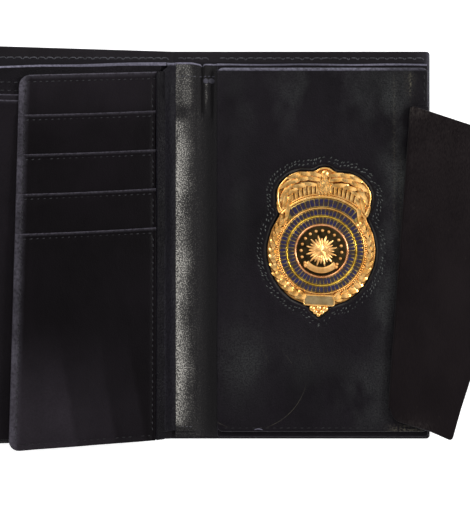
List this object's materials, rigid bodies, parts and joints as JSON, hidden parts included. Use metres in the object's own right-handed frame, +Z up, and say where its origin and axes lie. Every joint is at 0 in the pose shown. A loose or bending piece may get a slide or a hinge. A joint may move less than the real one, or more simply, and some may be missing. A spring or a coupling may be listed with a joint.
{
  "type": "id badge wallet",
  "caption": "Tall folding leather wallet, lying open: a badge in its recess with a cover flap, a hinged card page with slots and a full-width bill compartment.",
  "frame": {"origin": "middle of the spine's underside, on the surface that the open wallet lies on", "axes": "+X across the open wallet to the badge side, +Y to the open edge of the bill compartment, +Z up from the surface"},
  "size_m": [0.2558, 0.1744, 0.0244],
  "materials": {
    "black_leather": "black calf leather with a satin finish",
    "lining_black": "black lining",
    "worn_leather": "black leather rubbed grey",
    "board": "stiffening board",
    "suede": "brownish black suede, matte",
    "thread": "black waxed thread",
    "gold": "gold plate, polished on the relief",
    "dark_gold": "gold plate, darkened in the ground",
    "enamel": "dark blue hard enamel",
    "pin_steel": "plated steel"
  },
  "bodies": {
    "badge_side": {"cover_right": "black_leather", "lining_right": "lining_black", "bill_welt_right": "lining_black", "bill_welt_right_foot": "lining_black", "inner_leather_right": "black_leather", "panel_board": "board", "badge_panel": "black_leather", "recess_liner": "lining_black", "badge_plate": "gold", "badge_wreath": "gold", "badge_crest": "gold", "badge_rings": "gold", "badge_enamel": "enamel", "badge_medallion": "dark_gold", "badge_emblem": "gold", "badge_number_plate": "gold", "badge_pin_joint": "pin_steel", "badge_pin_stem": "pin_steel", "badge_pin_catch": "pin_steel", "flap_base": "black_leather", "shell_thread_right": "thread", "panel_thread": "thread", "badge_thread": "thread"},
    "spine": {"cover_spine": "black_leather", "lining_spine": "lining_black", "inner_leather_spine": "black_leather", "spine_strip": "worn_leather", "spine_thread": "thread", "fold_bead_right": "black_leather", "fold_bead_left": "black_leather"},
    "card_page": {"page_back": "black_leather", "page_core": "board", "card_slot_1": "black_leather", "card_slot_2": "black_leather", "card_slot_3": "black_leather", "card_slot_4": "black_leather", "page_hinge_band": "black_leather", "page_thread": "thread"},
    "left_cover": {"cover_left": "black_leather", "lining_left": "lining_black", "bill_welt_left": "lining_black", "bill_welt_left_foot": "lining_black", "inner_leather_left": "black_leather", "left_pocket_rear": "black_leather", "left_pocket_front": "black_leather", "left_thread": "thread"},
    "flap": {"flap_leather": "black_leather", "flap_suede": "suede"}
  },
  "joints": [
    {"name": "spine_fold", "type": "hinge", "parent": "badge_side", "child": "spine", "pos_m": [0.0092, 0, 0.0009], "axis": [0, 1, 0], "range_deg": [0, 90]},
    {"name": "page_fold", "type": "hinge", "parent": "spine", "child": "card_page", "pos_m": [-0.0092, 0, 0.0009], "axis": [0, 1, 0], "range_deg": [-12, 78]},
    {"name": "left_cover_fold", "type": "hinge", "parent": "card_page", "child": "left_cover", "pos_m": [-0.0092, 0, 0.0009], "axis": [0, 1, 0], "range_deg": [-90, 0]},
    {"name": "flap_fold", "type": "hinge", "parent": "badge_side", "child": "flap", "pos_m": [0.086, -0.0762, 0.0096], "axis": [-0.0735, -0.9973, 0], "range_deg": [0, 180]}
  ]
}
